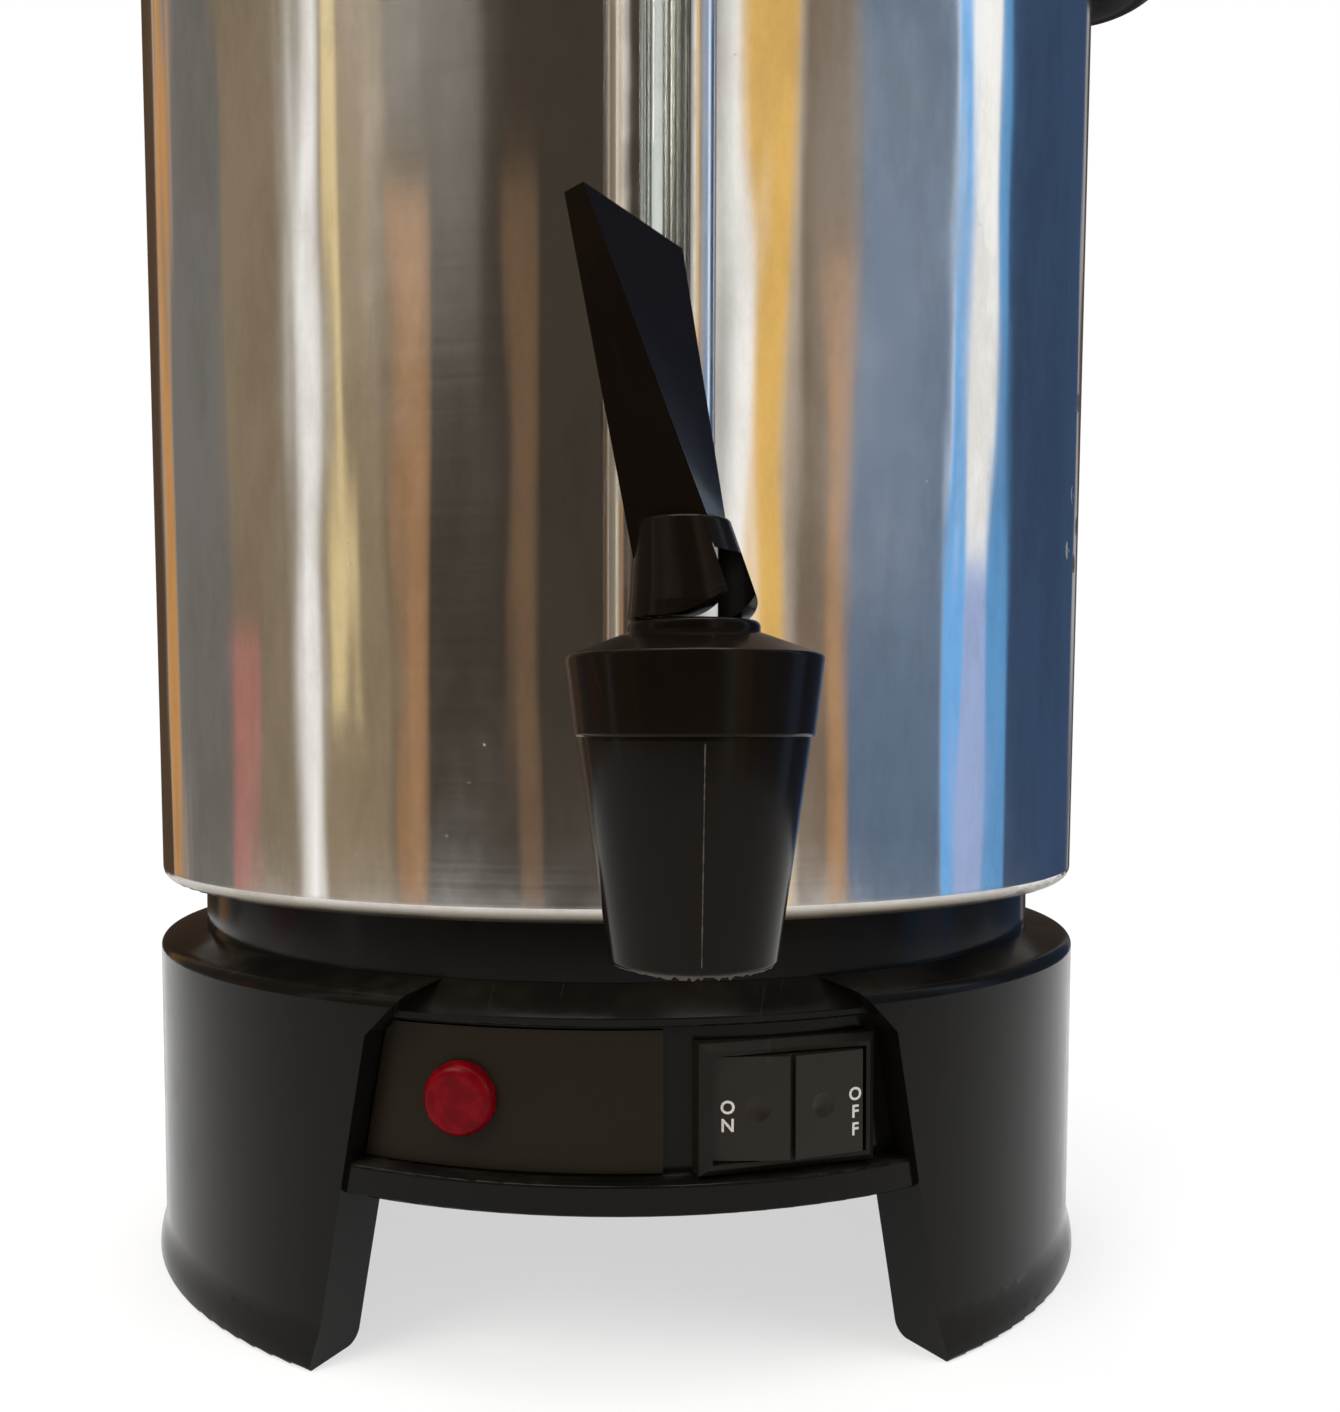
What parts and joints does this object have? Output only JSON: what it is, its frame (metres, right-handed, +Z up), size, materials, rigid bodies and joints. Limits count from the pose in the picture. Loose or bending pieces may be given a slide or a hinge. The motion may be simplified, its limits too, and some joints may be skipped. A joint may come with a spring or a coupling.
{
  "type": "coffee urn",
  "caption": "Counter-top coffee urn: polished vessel on a black arched base, self-closing tap with lever, sight gauge, rocker switch and lift-off lid.",
  "frame": {"origin": "on the urn's axis, at the table under the legs", "axes": "+Z up along the axis, -Y out of the front panel, +X to the right as seen from the front"},
  "size_m": [0.3262, 0.3169, 0.4265],
  "materials": {
    "vessel_aluminium": "polished with fine circular lines",
    "spun_aluminium": "spun, satin",
    "tube_aluminium": "drawn, satin",
    "base_black": "glossy moulded",
    "tap_black": "glossy moulded",
    "handle_black": "glossy moulded",
    "switch_black": "fine satin",
    "rocker_black": "fine satin",
    "plate_olive": "satin lacquer",
    "lens_red": "clear gloss",
    "neon_glass": "clear",
    "stem_white": "satin",
    "silicone": "matt",
    "plated_steel": "zinc plated",
    "cover_steel": "black paint",
    "heater_sheath": "heat-tinted",
    "bright_plating": "bright",
    "terminal_brass": "tinned",
    "gauge_glass": "clear"
  },
  "bodies": {
    "root": {"urn_body": "vessel_aluminium", "heater_well": "spun_aluminium", "well_gasket": "silicone", "brew_element": "heater_sheath", "element_clamp": "plated_steel", "clamp_nut": "plated_steel", "thermostat": "plated_steel", "thermal_fuse": "plated_steel", "base_studs": "plated_steel", "base_nuts": "plated_steel", "heat_ring": "base_black", "base_skirt": "base_black", "bottom_cover": "cover_steel", "cover_screws": "plated_steel", "front_plate": "plate_olive", "indicator_lens": "lens_red", "indicator_lamp": "neon_glass", "lens_retainer": "plated_steel", "switch_housing": "switch_black", "rocker_pin": "plated_steel", "switch_terminals": "terminal_brass", "appliance_inlet": "switch_black", "inlet_pins": "bright_plating", "inlet_screws": "plated_steel", "faucet_body": "tap_black", "faucet_bonnet": "tap_black", "faucet_shank": "bright_plating", "shank_washers": "silicone", "shank_nut": "bright_plating", "gauge_glass": "gauge_glass", "gauge_shield": "bright_plating", "gauge_cap": "handle_black", "gauge_seals": "silicone", "gauge_screw": "plated_steel", "handle_left": "handle_black", "handle_right": "handle_black", "handle_brackets": "bright_plating", "handle_screws": "plated_steel"},
    "lid": {"lid": "vessel_aluminium", "lid_knob": "handle_black", "lid_washer": "silicone", "lid_knob_screw": "plated_steel"},
    "spreader": {"basket_cover": "spun_aluminium"},
    "brew_set": {"basket": "spun_aluminium", "pump_stem": "tube_aluminium", "pump_foot": "spun_aluminium"},
    "pump_valve": {"pump_washer": "plated_steel"},
    "tap_swivel": {"stem_guide": "stem_white", "stem_spring": "plated_steel"},
    "tap_spindle": {"valve_stem": "stem_white", "seat_cup": "silicone", "lever_pin": "plated_steel"},
    "tap_lever": {"lever": "tap_black"},
    "switch_rocker": {"rocker": "rocker_black"}
  },
  "joints": [
    {"name": "lid_lift", "type": "slide", "parent": "root", "child": "lid", "axis": [0, 0, 1], "range_m": [0, 0.38]},
    {"name": "spreader_lift", "type": "slide", "parent": "root", "child": "spreader", "axis": [0, 0, 1], "range_m": [0, 0.35]},
    {"name": "brew_lift", "type": "slide", "parent": "root", "child": "brew_set", "axis": [0, 0, 1], "range_m": [0, 0.3235]},
    {"name": "pump_disc_slide", "type": "slide", "parent": "brew_set", "child": "pump_valve", "axis": [0, 0, 1], "range_m": [0, 0.0015]},
    {"name": "tap_turn", "type": "hinge", "parent": "root", "child": "tap_swivel", "pos_m": [0.00519, -0.17492, 0.135], "axis": [0, 0, 1], "continuous": true},
    {"name": "stem_lift", "type": "slide", "parent": "tap_swivel", "child": "tap_spindle", "axis": [0, 0, 1], "range_m": [0, 0.00196], "deforming": ["stem_spring"]},
    {"name": "lever_tilt", "type": "hinge", "parent": "tap_spindle", "child": "tap_lever", "pos_m": [0.00519, -0.17492, 0.146], "axis": [0.6115, 0.7912, 0], "range_deg": [0, 75], "stiffness_Nm_per_rad": 0.05, "springref_deg": -57.3},
    {"name": "rocker_tilt", "type": "hinge", "parent": "root", "child": "switch_rocker", "pos_m": [0.0284, -0.10524, 0.0545], "axis": [0, 0, 1], "range_deg": [0, 10]}
  ],
  "couplings": [
    {"joint": "spreader_lift", "follows": "lid_lift", "ratio": 0.92},
    {"joint": "brew_lift", "follows": "lid_lift", "ratio": 0.85},
    {"joint": "lever_tilt", "follows": "stem_lift", "rad_per_m": 666.6}
  ]
}
